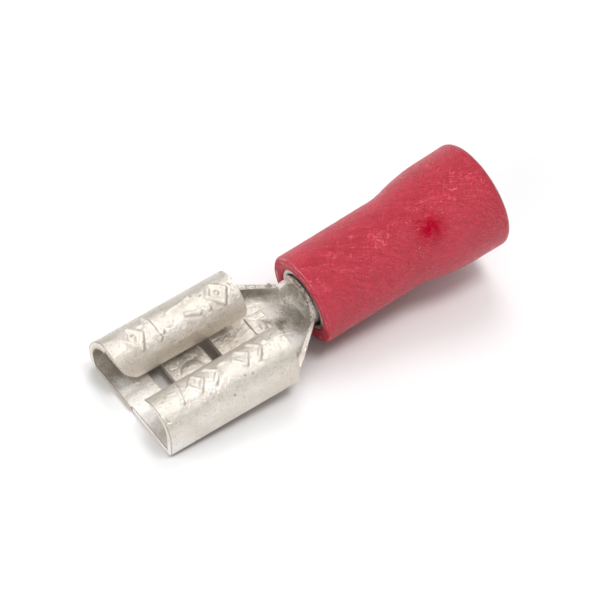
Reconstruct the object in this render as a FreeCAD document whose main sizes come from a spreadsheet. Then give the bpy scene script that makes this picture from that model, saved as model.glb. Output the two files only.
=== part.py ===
import FreeCAD, Part
import math
import os
import Sketcher

# Female spade terminal, millimetres.
# A folded contact takes the tab at its mouth, a thin ferrule lies round the
# contact's wire barrel, and a stepped vinyl sleeve covers both.
# +X runs from the mouth to the wire entry, +Z is up. The terminal lies at
# rest on the mouth's lower front edge and on the sleeve's front rim.

# Folded mouth
sheet_gauge = 0.4
mouth_half_width = 3.72
mouth_length = 8.0
bend_radius = 0.5
roll_radius = 1.4
roll_rise = 1.53
lip_height = 0.98

# Front corner of each rolled lip, cut back along an arc and a slanted line
corner_radius = 1.25
corner_rise = 1.22
corner_turn = 41
corner_foot = 0.9

# The far wall's front cut bows forward of the floor's edge
bow_depth = 0.19
bow_height = 1.4

# The near wall and its roll run a little past the far ones
near_tail = 0.14

# Floor windows and the dimple between them
window_half_width = 1.6
front_window_start = 1.87
front_window_length = 0.92
rear_window_start = 5.12
rear_window_length = 0.65
dimple_radius = 0.75
dimple_height = 0.18

# Tab stop: a lanced tongue behind the mouth, with a pressed hollow behind it
stop_half_width = 1.25
stop_length = 1.1
stop_height = 0.14
hollow_distance = 1.3
hollow_radius = 0.55
hollow_depth = 0.12

# Trough: full width behind the mouth, a waist, then the barrel's lower half
trough_wall = 0.85
waist_distance = 1
waist_floor = 1.82
waist_bend = 1.24
waist_turn = 60
waist_half_width = 2.95
waist_wall = 0.89

# Wire barrel, thinned towards its mouth
barrel_radius = 1.4
barrel_length = 6
barrel_lead = 0.08
barrel_mouth_radius = 1.2
barrel_mouth_length = 0.55
seam_width = 0.06
base_span = 10
side_span = 8

# Axis shared by the barrel, the ferrule and the sleeve
axis_start = 10.915
axis_height = 1.216
axis_pitch = 3.7

# Ferrule, measured along the axis from the sleeve's front face
ferrule_gauge = 0.2
bell_start = 0.1
bell_length = 0.5
bell_taper = 0.35
bell_radius = 1.62
grip_taper = 1.4
grip_radius = 2.15

# Sleeve
sleeve_length = 11.77
neck_radius = 2.65
swell_middle_radius = 2.79
flare_start_radius = 3.12
flare_radius = 3.15
front_round = 0.2
rear_round = 0.39
opening_bevel = 0.12
entry_radius = 2.55

# Stations on the axis, measured forward from the sleeve's rear face
swell_distance = 5.77
grip_distance = 5.67
swell_middle_distance = 4.67
flare_distance = 2.17
entry_depth = 0.87

doc = FreeCAD.newDocument("SpadeTerminal")
sizes = doc.addObject("Spreadsheet::Sheet", "Sizes")
row_count = 0


def size(name, value):
    global row_count
    row_count = row_count + 1
    sizes.set("A" + str(row_count), name)
    sizes.set("B" + str(row_count), str(value))
    sizes.setAlias("B" + str(row_count), name)


size("sheet_gauge", sheet_gauge)
size("mouth_half_width", mouth_half_width)
size("mouth_length", mouth_length)
size("bend_radius", bend_radius)
size("roll_radius", roll_radius)
size("roll_rise", roll_rise)
size("lip_height", lip_height)
size("corner_radius", corner_radius)
size("corner_rise", corner_rise)
size("corner_turn", corner_turn)
size("corner_foot", corner_foot)
size("bow_depth", bow_depth)
size("bow_height", bow_height)
size("near_tail", near_tail)
size("window_half_width", window_half_width)
size("front_window_start", front_window_start)
size("front_window_length", front_window_length)
size("rear_window_start", rear_window_start)
size("rear_window_length", rear_window_length)
size("dimple_radius", dimple_radius)
size("dimple_height", dimple_height)
size("stop_half_width", stop_half_width)
size("stop_length", stop_length)
size("stop_height", stop_height)
size("hollow_distance", hollow_distance)
size("hollow_radius", hollow_radius)
size("hollow_depth", hollow_depth)
size("trough_wall", trough_wall)
size("waist_distance", waist_distance)
size("waist_floor", waist_floor)
size("waist_bend", waist_bend)
size("waist_turn", waist_turn)
size("waist_half_width", waist_half_width)
size("waist_wall", waist_wall)
size("barrel_radius", barrel_radius)
size("barrel_length", barrel_length)
size("barrel_lead", barrel_lead)
size("barrel_mouth_radius", barrel_mouth_radius)
size("barrel_mouth_length", barrel_mouth_length)
size("seam_width", seam_width)
size("base_span", base_span)
size("side_span", side_span)
size("axis_start", axis_start)
size("axis_height", axis_height)
size("axis_pitch", axis_pitch)
size("ferrule_gauge", ferrule_gauge)
size("bell_start", bell_start)
size("bell_length", bell_length)
size("bell_taper", bell_taper)
size("bell_radius", bell_radius)
size("grip_taper", grip_taper)
size("grip_radius", grip_radius)
size("sleeve_length", sleeve_length)
size("neck_radius", neck_radius)
size("swell_middle_radius", swell_middle_radius)
size("flare_start_radius", flare_start_radius)
size("flare_radius", flare_radius)
size("front_round", front_round)
size("rear_round", rear_round)
size("opening_bevel", opening_bevel)
size("entry_radius", entry_radius)
size("swell_distance", swell_distance)
size("grip_distance", grip_distance)
size("swell_middle_distance", swell_middle_distance)
size("flare_distance", flare_distance)
size("entry_depth", entry_depth)

doc.recompute()

# Resting pose. TOUCH is the centre of the rounding at the bottom of the
# sleeve's front face and HEEL the one at the bottom of its rear end. The
# terminal turns about the mouth's lower front edge until the front rounding
# touches the ground, then shifts so that its box, from the bowed front cut to
# the rear rounding, is centred.
TOUCH_X = (
    "(Sizes.axis_start + Sizes.front_round * cos(Sizes.axis_pitch)"
    " + (Sizes.neck_radius - Sizes.front_round) * sin(Sizes.axis_pitch))"
)
TOUCH_Z = (
    "(Sizes.axis_height + Sizes.front_round * sin(Sizes.axis_pitch)"
    " - (Sizes.neck_radius - Sizes.front_round) * cos(Sizes.axis_pitch))"
)
HEEL_X = (
    "(Sizes.axis_start + (Sizes.sleeve_length - Sizes.rear_round) * cos(Sizes.axis_pitch)"
    " + (Sizes.flare_radius - Sizes.rear_round) * sin(Sizes.axis_pitch))"
)
HEEL_Z = (
    "(Sizes.axis_height + (Sizes.sleeve_length - Sizes.rear_round) * sin(Sizes.axis_pitch)"
    " - (Sizes.flare_radius - Sizes.rear_round) * cos(Sizes.axis_pitch))"
)
REACH = "sqrt(" + TOUCH_X + "^2 + " + TOUCH_Z + "^2)"
TILT = "(asin(Sizes.front_round / " + REACH + ") - atan(" + TOUCH_Z + " / " + TOUCH_X + "))"
BACK = "(" + HEEL_X + " * cos(" + TILT + ") - " + HEEL_Z + " * sin(" + TILT + ") + Sizes.rear_round)"
BOW_RADIUS = "((Sizes.bow_height^2 + Sizes.bow_depth^2) / (2 * Sizes.bow_depth))"
BOW_X = "(" + BOW_RADIUS + " - Sizes.bow_depth)"
FRONT = "(" + BOW_RADIUS + " - " + BOW_X + " * cos(" + TILT + ") + Sizes.bow_height * sin(" + TILT + "))"
SHIFT = "((" + FRONT + " - " + BACK + ") / 2)"
AXIS_X = "(Sizes.axis_start * cos(" + TILT + ") - Sizes.axis_height * sin(" + TILT + ") + " + SHIFT + ")"
AXIS_Z = "(Sizes.axis_start * sin(" + TILT + ") + Sizes.axis_height * cos(" + TILT + "))"


def rest_on_mouth(piece):
    piece.Placement = FreeCAD.Placement(FreeCAD.Vector(0, 0, 0), FreeCAD.Rotation(FreeCAD.Vector(0, 1, 0), -3))
    piece.setExpression(".Placement.Base.x", SHIFT)
    piece.setExpression(".Placement.Rotation.Angle", "0 deg - " + TILT)


def rest_on_axis(piece):
    piece.Placement = FreeCAD.Placement(FreeCAD.Vector(0, 0, 0), FreeCAD.Rotation(FreeCAD.Vector(0, 1, 0), -7))
    piece.setExpression(".Placement.Base.x", AXIS_X)
    piece.setExpression(".Placement.Base.z", AXIS_Z)
    piece.setExpression(".Placement.Rotation.Angle", "0 deg - Sizes.axis_pitch * 1 deg - " + TILT)


def lie_along_axis(piece, start):
    piece.Placement = FreeCAD.Placement(FreeCAD.Vector(10, 0, 1), FreeCAD.Rotation(FreeCAD.Vector(0, 1, 0), -3))
    piece.setExpression(".Placement.Base.x", "Sizes.axis_start + (" + start + ") * cos(Sizes.axis_pitch)")
    piece.setExpression(".Placement.Base.z", "Sizes.axis_height + (" + start + ") * sin(Sizes.axis_pitch)")
    piece.setExpression(".Placement.Rotation.Angle", "0 deg - Sizes.axis_pitch * 1 deg")


def plane(body, role):
    for feature in body.Origin.OriginFeatures:
        if feature.Role == role:
            return feature
    raise ValueError("no plane " + role)


def sketch_on(body, name, role):
    sketch = body.newObject("Sketcher::SketchObject", name)
    sketch.AttachmentSupport = [(plane(body, role), "")]
    sketch.MapMode = "FlatFace"
    return sketch


def line(sketch, start, end):
    first = FreeCAD.Vector(start[0], start[1], 0)
    last = FreeCAD.Vector(end[0], end[1], 0)
    return sketch.addGeometry(Part.LineSegment(first, last), False)


def arc(sketch, centre, radius, start, end):
    circle = Part.Circle(FreeCAD.Vector(centre[0], centre[1], 0), FreeCAD.Vector(0, 0, 1), radius)
    return sketch.addGeometry(Part.ArcOfCircle(circle, math.radians(start), math.radians(end)), False)


def join(sketch, first, first_end, second, second_end):
    sketch.addConstraint(Sketcher.Constraint("Coincident", first, first_end, second, second_end))


def flow(sketch, first, first_end, second, second_end):
    sketch.addConstraint(Sketcher.Constraint("Tangent", first, first_end, second, second_end))


def measure(sketch, constraint, expression):
    index = sketch.addConstraint(constraint)
    sketch.setExpression("Constraints[" + str(index) + "]", expression)


def across(sketch, edge, end, value, expression):
    measure(sketch, Sketcher.Constraint("DistanceX", -1, 1, edge, end, value), expression)


def above(sketch, edge, end, value, expression):
    measure(sketch, Sketcher.Constraint("DistanceY", -1, 1, edge, end, value), expression)


def round_to(sketch, edge, value, expression):
    measure(sketch, Sketcher.Constraint("Radius", edge, value), expression)


def span(sketch, edge, degrees, expression):
    measure(sketch, Sketcher.Constraint("Angle", edge, math.radians(degrees)), expression)


def ring_profile(sketch, corners):
    # A closed line through corners, each a pair of expressions
    values = []
    for across_text, up_text in corners:
        values.append((sizes_value(across_text), sizes_value(up_text)))
    edges = []
    for index in range(len(values)):
        edges.append(line(sketch, values[index], values[(index + 1) % len(values)]))
    for index in range(len(edges)):
        join(sketch, edges[index], 2, edges[(index + 1) % len(edges)], 1)
    for index in range(len(edges)):
        across(sketch, edges[index], 1, values[index][0], corners[index][0])
        above(sketch, edges[index], 1, values[index][1], corners[index][1])


def sizes_value(text):
    return float(sizes.evalExpression(text.replace("Sizes.", "")))


# Half of the folded mouth, from the middle of the floor to the free edge

def mouth_half_section(body):
    gauge = sizes.sheet_gauge
    width = sizes.mouth_half_width
    bend = sizes.bend_radius
    roll = sizes.roll_radius
    rise = sizes.roll_rise
    middle = (width - roll, rise)
    edge_angle = 180 + math.degrees(math.asin((rise - sizes.lip_height) / roll))
    cosine = math.cos(math.radians(edge_angle))
    sine = math.sin(math.radians(edge_angle))
    inner = roll - gauge
    sketch = sketch_on(body, "MouthSection", "YZ_Plane")
    base = line(sketch, (0, 0), (width - bend, 0))
    outer_bend = arc(sketch, (width - bend, bend), bend, -90, 0)
    side = line(sketch, (width, bend), (width, rise))
    outer_roll = arc(sketch, middle, roll, 0, edge_angle)
    edge = line(
        sketch,
        (middle[0] + roll * cosine, rise + roll * sine),
        (middle[0] + inner * cosine, rise + inner * sine),
    )
    inner_roll = arc(sketch, middle, inner, 0, edge_angle)
    inner_side = line(sketch, (width - gauge, rise), (width - gauge, bend))
    inner_bend = arc(sketch, (width - bend, bend), bend - gauge, -90, 0)
    floor = line(sketch, (width - bend, gauge), (0, gauge))
    middle_cut = line(sketch, (0, gauge), (0, 0))
    join(sketch, base, 1, -1, 1)
    sketch.addConstraint(Sketcher.Constraint("Horizontal", base))
    flow(sketch, base, 2, outer_bend, 1)
    flow(sketch, outer_bend, 2, side, 1)
    sketch.addConstraint(Sketcher.Constraint("Vertical", side))
    flow(sketch, side, 2, outer_roll, 1)
    join(sketch, outer_roll, 2, edge, 1)
    join(sketch, edge, 2, inner_roll, 2)
    sketch.addConstraint(Sketcher.Constraint("PointOnObject", outer_roll, 3, edge))
    join(sketch, outer_roll, 3, inner_roll, 3)
    flow(sketch, inner_roll, 1, inner_side, 1)
    flow(sketch, inner_side, 2, inner_bend, 2)
    flow(sketch, inner_bend, 1, floor, 1)
    sketch.addConstraint(Sketcher.Constraint("Horizontal", floor))
    join(sketch, floor, 2, middle_cut, 1)
    join(sketch, middle_cut, 2, base, 1)
    sketch.addConstraint(Sketcher.Constraint("Vertical", middle_cut))
    across(sketch, side, 1, width, "Sizes.mouth_half_width")
    round_to(sketch, outer_bend, bend, "Sizes.bend_radius")
    round_to(sketch, outer_roll, roll, "Sizes.roll_radius")
    above(sketch, outer_roll, 3, rise, "Sizes.roll_rise")
    above(sketch, edge, 1, sizes.lip_height, "Sizes.lip_height")
    round_to(sketch, inner_roll, inner, "Sizes.roll_radius - Sizes.sheet_gauge")
    round_to(sketch, inner_bend, bend - gauge, "Sizes.bend_radius - Sizes.sheet_gauge")
    above(sketch, floor, 1, gauge, "Sizes.sheet_gauge")
    return sketch


# Half of the trough where it leaves the mouth

def trough_start(body):
    gauge = sizes.sheet_gauge
    width = sizes.mouth_half_width
    bend = sizes.bend_radius
    wall = sizes.trough_wall
    sketch = sketch_on(body, "TroughStart", "YZ_Plane")
    sketch.setExpression(".AttachmentOffset.Base.z", "Sizes.mouth_length")
    base = line(sketch, (0, 0), (width - bend, 0))
    outer_bend = arc(sketch, (width - bend, bend), bend, -90, 0)
    side = line(sketch, (width, bend), (width, wall))
    cap = line(sketch, (width, wall), (width - gauge, wall))
    inner_side = line(sketch, (width - gauge, wall), (width - gauge, bend))
    inner_bend = arc(sketch, (width - bend, bend), bend - gauge, -90, 0)
    floor = line(sketch, (width - bend, gauge), (0, gauge))
    middle_cut = line(sketch, (0, gauge), (0, 0))
    join(sketch, base, 1, -1, 1)
    sketch.addConstraint(Sketcher.Constraint("Horizontal", base))
    flow(sketch, base, 2, outer_bend, 1)
    flow(sketch, outer_bend, 2, side, 1)
    sketch.addConstraint(Sketcher.Constraint("Vertical", side))
    join(sketch, side, 2, cap, 1)
    sketch.addConstraint(Sketcher.Constraint("Horizontal", cap))
    join(sketch, cap, 2, inner_side, 1)
    sketch.addConstraint(Sketcher.Constraint("Vertical", inner_side))
    flow(sketch, inner_side, 2, inner_bend, 2)
    flow(sketch, inner_bend, 1, floor, 1)
    sketch.addConstraint(Sketcher.Constraint("Horizontal", floor))
    join(sketch, floor, 2, middle_cut, 1)
    join(sketch, middle_cut, 2, base, 1)
    sketch.addConstraint(Sketcher.Constraint("Vertical", middle_cut))
    across(sketch, side, 1, width, "Sizes.mouth_half_width")
    round_to(sketch, outer_bend, bend, "Sizes.bend_radius")
    above(sketch, side, 2, wall, "Sizes.trough_wall")
    across(sketch, inner_side, 1, width - gauge, "Sizes.mouth_half_width - Sizes.sheet_gauge")
    round_to(sketch, inner_bend, bend - gauge, "Sizes.bend_radius - Sizes.sheet_gauge")
    above(sketch, floor, 1, gauge, "Sizes.sheet_gauge")
    return sketch


# Half of the trough at its waist, where the floor begins to narrow

def trough_waist(body):
    gauge = sizes.sheet_gauge
    floor_end = sizes.waist_floor
    bend = sizes.waist_bend
    width = sizes.waist_half_width
    wall = sizes.waist_wall
    inner = bend - gauge
    turn = math.radians(sizes.waist_turn)
    sketch = sketch_on(body, "TroughWaist", "YZ_Plane")
    sketch.setExpression(".AttachmentOffset.Base.z", "Sizes.mouth_length + Sizes.waist_distance")
    outer_foot = (floor_end + bend * math.sin(turn), bend - bend * math.cos(turn))
    inner_foot = (floor_end + inner * math.sin(turn), bend - inner * math.cos(turn))
    base = line(sketch, (0, 0), (floor_end, 0))
    outer_bend = arc(sketch, (floor_end, bend), bend, -90, sizes.waist_turn - 90)
    side = line(sketch, outer_foot, (width, wall))
    cap = line(sketch, (width, wall), (width - gauge, wall))
    inner_side = line(sketch, (width - gauge, wall), inner_foot)
    inner_bend = arc(sketch, (floor_end, bend), inner, -90, sizes.waist_turn - 90)
    floor = line(sketch, (floor_end, gauge), (0, gauge))
    middle_cut = line(sketch, (0, gauge), (0, 0))
    join(sketch, base, 1, -1, 1)
    sketch.addConstraint(Sketcher.Constraint("Horizontal", base))
    flow(sketch, base, 2, outer_bend, 1)
    join(sketch, outer_bend, 2, side, 1)
    join(sketch, side, 2, cap, 1)
    sketch.addConstraint(Sketcher.Constraint("Horizontal", cap))
    join(sketch, cap, 2, inner_side, 1)
    join(sketch, inner_side, 2, inner_bend, 2)
    join(sketch, inner_bend, 3, outer_bend, 3)
    flow(sketch, inner_bend, 1, floor, 1)
    sketch.addConstraint(Sketcher.Constraint("Horizontal", floor))
    join(sketch, floor, 2, middle_cut, 1)
    join(sketch, middle_cut, 2, base, 1)
    sketch.addConstraint(Sketcher.Constraint("Vertical", middle_cut))
    across(sketch, base, 2, floor_end, "Sizes.waist_floor")
    round_to(sketch, outer_bend, bend, "Sizes.waist_bend")
    round_to(sketch, inner_bend, inner, "Sizes.waist_bend - Sizes.sheet_gauge")
    span(sketch, outer_bend, sizes.waist_turn, "Sizes.waist_turn * 1 deg")
    span(sketch, inner_bend, sizes.waist_turn, "Sizes.waist_turn * 1 deg")
    across(sketch, side, 2, width, "Sizes.waist_half_width")
    above(sketch, side, 2, wall, "Sizes.waist_wall")
    across(sketch, cap, 2, width - gauge, "Sizes.waist_half_width - Sizes.sheet_gauge")
    return sketch


# Half of the trough where it meets the lower half of the barrel

def trough_end(body):
    outer = sizes.barrel_radius
    inner = sizes.barrel_mouth_radius
    sketch = sketch_on(body, "TroughEnd", "YZ_Plane")
    sketch.AttachmentOffset = FreeCAD.Placement(
        FreeCAD.Vector(0, 1, 10), FreeCAD.Rotation(FreeCAD.Vector(1, 0, 0), -3)
    )
    sketch.setExpression(
        ".AttachmentOffset.Base.y", "Sizes.axis_height - Sizes.barrel_lead * sin(Sizes.axis_pitch)"
    )
    sketch.setExpression(
        ".AttachmentOffset.Base.z", "Sizes.axis_start - Sizes.barrel_lead * cos(Sizes.axis_pitch)"
    )
    sketch.setExpression(".AttachmentOffset.Rotation.Angle", "0 deg - Sizes.axis_pitch * 1 deg")
    low = sizes.base_span - 90
    high = -sizes.side_span
    outer_base = arc(sketch, (0, 0), outer, -90, low)
    outer_bend = arc(sketch, (0, 0), outer, low, high)
    outer_side = arc(sketch, (0, 0), outer, high, 0)
    cap = line(sketch, (outer, 0), (inner, 0))
    inner_side = arc(sketch, (0, 0), inner, high, 0)
    inner_bend = arc(sketch, (0, 0), inner, low, high)
    inner_base = arc(sketch, (0, 0), inner, -90, low)
    middle_cut = line(sketch, (0, -inner), (0, -outer))
    for edge in (outer_base, outer_bend, outer_side, inner_side, inner_bend, inner_base):
        join(sketch, edge, 3, -1, 1)
    join(sketch, outer_base, 2, outer_bend, 1)
    join(sketch, outer_bend, 2, outer_side, 1)
    join(sketch, outer_side, 2, cap, 1)
    join(sketch, cap, 2, inner_side, 2)
    join(sketch, inner_side, 1, inner_bend, 2)
    join(sketch, inner_bend, 1, inner_base, 2)
    join(sketch, inner_base, 1, middle_cut, 1)
    join(sketch, middle_cut, 2, outer_base, 1)
    sketch.addConstraint(Sketcher.Constraint("PointOnObject", outer_base, 1, -2))
    sketch.addConstraint(Sketcher.Constraint("PointOnObject", inner_base, 1, -2))
    round_to(sketch, outer_base, outer, "Sizes.barrel_radius")
    round_to(sketch, inner_base, inner, "Sizes.barrel_mouth_radius")
    for edge in (outer_base, inner_base):
        span(sketch, edge, sizes.base_span, "Sizes.base_span * 1 deg")
    for edge in (outer_bend, inner_bend):
        span(sketch, edge, high - low, "(90 - Sizes.base_span - Sizes.side_span) * 1 deg")
    for edge in (outer_side, inner_side):
        span(sketch, edge, sizes.side_span, "Sizes.side_span * 1 deg")
    return sketch


def half_shell():
    body = doc.addObject("PartDesign::Body", "HalfShell")
    section = mouth_half_section(body)
    mouth = body.newObject("PartDesign::Pad", "Mouth")
    mouth.Profile = section
    mouth.setExpression("Length", "Sizes.mouth_length")
    start = trough_start(body)
    waist = trough_waist(body)
    end = trough_end(body)
    trough = body.newObject("PartDesign::AdditiveLoft", "Trough")
    trough.Profile = start
    trough.Sections = [waist, end]
    trough.Ruled = True
    body.Tip = trough
    return body


# The near tail is the mouth's section, turned round to the near side

def near_end():
    body = doc.addObject("PartDesign::Body", "NearTail")
    section = mouth_half_section(body)
    tail = body.newObject("PartDesign::Pad", "TailPad")
    tail.Profile = section
    tail.setExpression("Length", "Sizes.near_tail")
    body.Placement = FreeCAD.Placement(FreeCAD.Vector(8, 0, 0), FreeCAD.Rotation(FreeCAD.Vector(0, 0, 1), 180))
    body.setExpression(".Placement.Base.x", "Sizes.mouth_length + Sizes.near_tail")
    return body


# The bow is the mouth's section run forward and kept inside a wide cylinder

def far_bow():
    body = doc.addObject("PartDesign::Body", "BowBlank")
    section = mouth_half_section(body)
    blank = body.newObject("PartDesign::Pad", "BowPad")
    blank.Profile = section
    blank.Reversed = True
    blank.setExpression("Length", "2 * Sizes.bow_depth")
    limit = doc.addObject("Part::Cylinder", "BowLimit")
    limit.setExpression("Radius", BOW_RADIUS)
    limit.setExpression("Height", "2 * Sizes.mouth_half_width")
    limit.Placement = FreeCAD.Placement(FreeCAD.Vector(5, -1, 1), FreeCAD.Rotation(FreeCAD.Vector(1, 0, 0), -90))
    limit.setExpression(".Placement.Base.x", BOW_X)
    limit.setExpression(".Placement.Base.y", "-Sizes.mouth_half_width / 2")
    limit.setExpression(".Placement.Base.z", "Sizes.bow_height")
    bow = doc.addObject("Part::Common", "FarBow")
    bow.Base = body
    bow.Tool = limit
    return bow


def turned(body, sketch, name):
    feature = body.newObject("PartDesign::Revolution", name)
    feature.Profile = sketch
    feature.ReferenceAxis = (sketch, ["H_Axis"])
    feature.Angle = 360
    return feature


def wire_barrel():
    body = doc.addObject("PartDesign::Body", "WireBarrel")
    sketch = sketch_on(body, "BarrelProfile", "XZ_Plane")
    bore = "Sizes.barrel_radius - Sizes.sheet_gauge"
    corners = [
        ("0", "Sizes.barrel_mouth_radius"),
        ("Sizes.barrel_mouth_length", bore),
        ("Sizes.barrel_length", bore),
        ("Sizes.barrel_length", "Sizes.barrel_radius"),
        ("0", "Sizes.barrel_radius"),
    ]
    ring_profile(sketch, corners)
    turned(body, sketch, "BarrelTurn")
    lie_along_axis(body, "-Sizes.barrel_lead")
    return body


def barrel_seam():
    seam = doc.addObject("Part::Box", "BarrelSeam")
    seam.setExpression("Length", "Sizes.barrel_length + 1")
    seam.setExpression("Width", "Sizes.seam_width")
    seam.setExpression("Height", "Sizes.barrel_radius + 1")
    lie_along_axis(seam, "-Sizes.barrel_lead - 0.5")
    seam.setExpression(".Placement.Base.y", "-Sizes.seam_width / 2")
    return seam


def window(name, start, length):
    opening = doc.addObject("Part::Box", name)
    opening.setExpression("Length", length)
    opening.setExpression("Width", "2 * Sizes.window_half_width")
    opening.setExpression("Height", "2 * Sizes.sheet_gauge")
    opening.setExpression(".Placement.Base.x", start)
    opening.setExpression(".Placement.Base.y", "-Sizes.window_half_width")
    opening.setExpression(".Placement.Base.z", "-Sizes.sheet_gauge / 2")
    return opening


# The stamped dimple is a ball's cap above the floor, hollow from below

DIMPLE_BALL = "((Sizes.dimple_radius^2 + Sizes.dimple_height^2) / (2 * Sizes.dimple_height))"
DIMPLE_X = "((Sizes.front_window_start + Sizes.front_window_length + Sizes.rear_window_start) / 2)"


def ball_cap(name, level):
    cap = doc.addObject("Part::Sphere", name)
    cap.setExpression("Radius", DIMPLE_BALL)
    cap.setExpression("Angle1", "asin((" + DIMPLE_BALL + " - Sizes.dimple_height - 0.1) / " + DIMPLE_BALL + ")")
    cap.setExpression(".Placement.Base.x", DIMPLE_X)
    cap.setExpression(".Placement.Base.z", level + " + Sizes.dimple_height - " + DIMPLE_BALL)
    return cap


HOLLOW_BALL = "((Sizes.hollow_radius^2 + Sizes.hollow_depth^2) / (2 * Sizes.hollow_depth))"


def tab_stop():
    stop = doc.addObject("Part::Wedge", "TabStop")
    stop.Xmin = 0
    stop.X2min = 0
    stop.Ymin = 0
    stop.Zmin = 0
    stop.Z2min = 0
    stop.setExpression("Xmax", "2 * Sizes.stop_half_width")
    stop.setExpression("X2max", "2 * Sizes.stop_half_width")
    stop.setExpression("Ymax", "Sizes.stop_length")
    stop.setExpression("Zmax", "Sizes.stop_height + Sizes.sheet_gauge / 2")
    stop.setExpression("Z2max", "Sizes.sheet_gauge / 2")
    stop.Placement = FreeCAD.Placement(FreeCAD.Vector(8, 1, 0), FreeCAD.Rotation(FreeCAD.Vector(0, 0, 1), -90))
    stop.setExpression(".Placement.Base.x", "Sizes.mouth_length")
    stop.setExpression(".Placement.Base.y", "Sizes.stop_half_width")
    stop.setExpression(".Placement.Base.z", "Sizes.sheet_gauge / 2")
    return stop


def stop_hollow():
    ball = doc.addObject("Part::Sphere", "StopHollow")
    ball.setExpression("Radius", HOLLOW_BALL)
    ball.setExpression(".Placement.Base.x", "Sizes.mouth_length + Sizes.hollow_distance")
    ball.setExpression(".Placement.Base.z", "Sizes.sheet_gauge - Sizes.hollow_depth + " + HOLLOW_BALL)
    return ball


def lip_corners():
    body = doc.addObject("PartDesign::Body", "LipCorners")
    radius = sizes.corner_radius
    top = sizes.roll_rise + sizes.corner_rise
    turn = math.radians(sizes.corner_turn)
    foot = sizes.corner_foot
    before = -2 * sizes.bow_depth
    bend = (radius - radius * math.cos(turn), top - radius * math.sin(turn))
    reach = bend[0] + (bend[1] - foot) * math.tan(turn)
    sketch = sketch_on(body, "CornerOutline", "XZ_Plane")
    above_line = line(sketch, (before, top), (0, top))
    curve = arc(sketch, (radius, top), radius, 180, 180 + sizes.corner_turn)
    slant = line(sketch, bend, (reach, foot))
    below = line(sketch, (reach, foot), (before, foot))
    front = line(sketch, (before, foot), (before, top))
    join(sketch, above_line, 2, curve, 1)
    flow(sketch, curve, 2, slant, 1)
    join(sketch, slant, 2, below, 1)
    join(sketch, below, 2, front, 1)
    join(sketch, front, 2, above_line, 1)
    sketch.addConstraint(Sketcher.Constraint("Horizontal", above_line))
    sketch.addConstraint(Sketcher.Constraint("Horizontal", below))
    sketch.addConstraint(Sketcher.Constraint("Vertical", front))
    sketch.addConstraint(Sketcher.Constraint("PointOnObject", curve, 1, -2))
    sketch.addConstraint(Sketcher.Constraint("Horizontal", curve, 1, curve, 3))
    above(sketch, curve, 1, top, "Sizes.roll_rise + Sizes.corner_rise")
    round_to(sketch, curve, radius, "Sizes.corner_radius")
    span(sketch, curve, sizes.corner_turn, "Sizes.corner_turn * 1 deg")
    above(sketch, slant, 2, foot, "Sizes.corner_foot")
    measure(sketch, Sketcher.Constraint("DistanceX", front, 1, -1, 1, -before), "2 * Sizes.bow_depth")
    block = body.newObject("PartDesign::Pad", "CornerBlock")
    block.Profile = sketch
    block.SideType = "Symmetric"
    block.setExpression("Length", "2 * (Sizes.mouth_half_width - Sizes.roll_radius)")
    return body


def contact():
    half = half_shell()
    other = doc.addObject("Part::Mirroring", "OtherHalf")
    other.Source = half
    other.Normal = FreeCAD.Vector(0, 1, 0)
    joined = doc.addObject("Part::MultiFuse", "ShellAndBarrel")
    joined.Shapes = [
        half,
        other,
        far_bow(),
        near_end(),
        wire_barrel(),
        ball_cap("DimpleTop", "Sizes.sheet_gauge"),
        tab_stop(),
    ]
    joined.Refine = True
    removed = doc.addObject("Part::MultiFuse", "Cutouts")
    removed.Shapes = [
        window("FrontWindow", "Sizes.front_window_start", "Sizes.front_window_length"),
        window("RearWindow", "Sizes.rear_window_start", "Sizes.rear_window_length"),
        ball_cap("DimpleHollow", "0"),
        stop_hollow(),
        barrel_seam(),
        lip_corners(),
    ]
    removed.Refine = False
    piece = doc.addObject("Part::Cut", "Contact")
    piece.Label = "contact"
    piece.Base = joined
    piece.Tool = removed
    piece.Refine = True
    rest_on_mouth(piece)
    return piece


BELL_END = "Sizes.bell_start + Sizes.bell_length"
NECK_BEGIN = BELL_END + " + Sizes.bell_taper"
GRIP_START = "Sizes.sleeve_length - Sizes.grip_distance"
GRIP_BEGIN = GRIP_START + " + Sizes.grip_taper"
FERRULE_END = "Sizes.sleeve_length - Sizes.entry_depth"


def ferrule_line(extra):
    return [
        ("Sizes.bell_start", "Sizes.bell_radius" + extra),
        (BELL_END, "Sizes.bell_radius" + extra),
        (NECK_BEGIN, "Sizes.barrel_radius" + extra),
        (GRIP_START, "Sizes.barrel_radius" + extra),
        (GRIP_BEGIN, "Sizes.grip_radius" + extra),
        (FERRULE_END, "Sizes.grip_radius" + extra),
    ]


def ferrule():
    body = doc.addObject("PartDesign::Body", "Ferrule")
    body.Label = "ferrule"
    sketch = sketch_on(body, "FerruleProfile", "XZ_Plane")
    inside = ferrule_line("")
    outside = ferrule_line(" + Sizes.ferrule_gauge")
    outside.reverse()
    ring_profile(sketch, inside + outside)
    turned(body, sketch, "FerruleTurn")
    rest_on_axis(body)
    return body


# Outside of the sleeve: front rounding, neck, swelling, flare, end rounding

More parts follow.
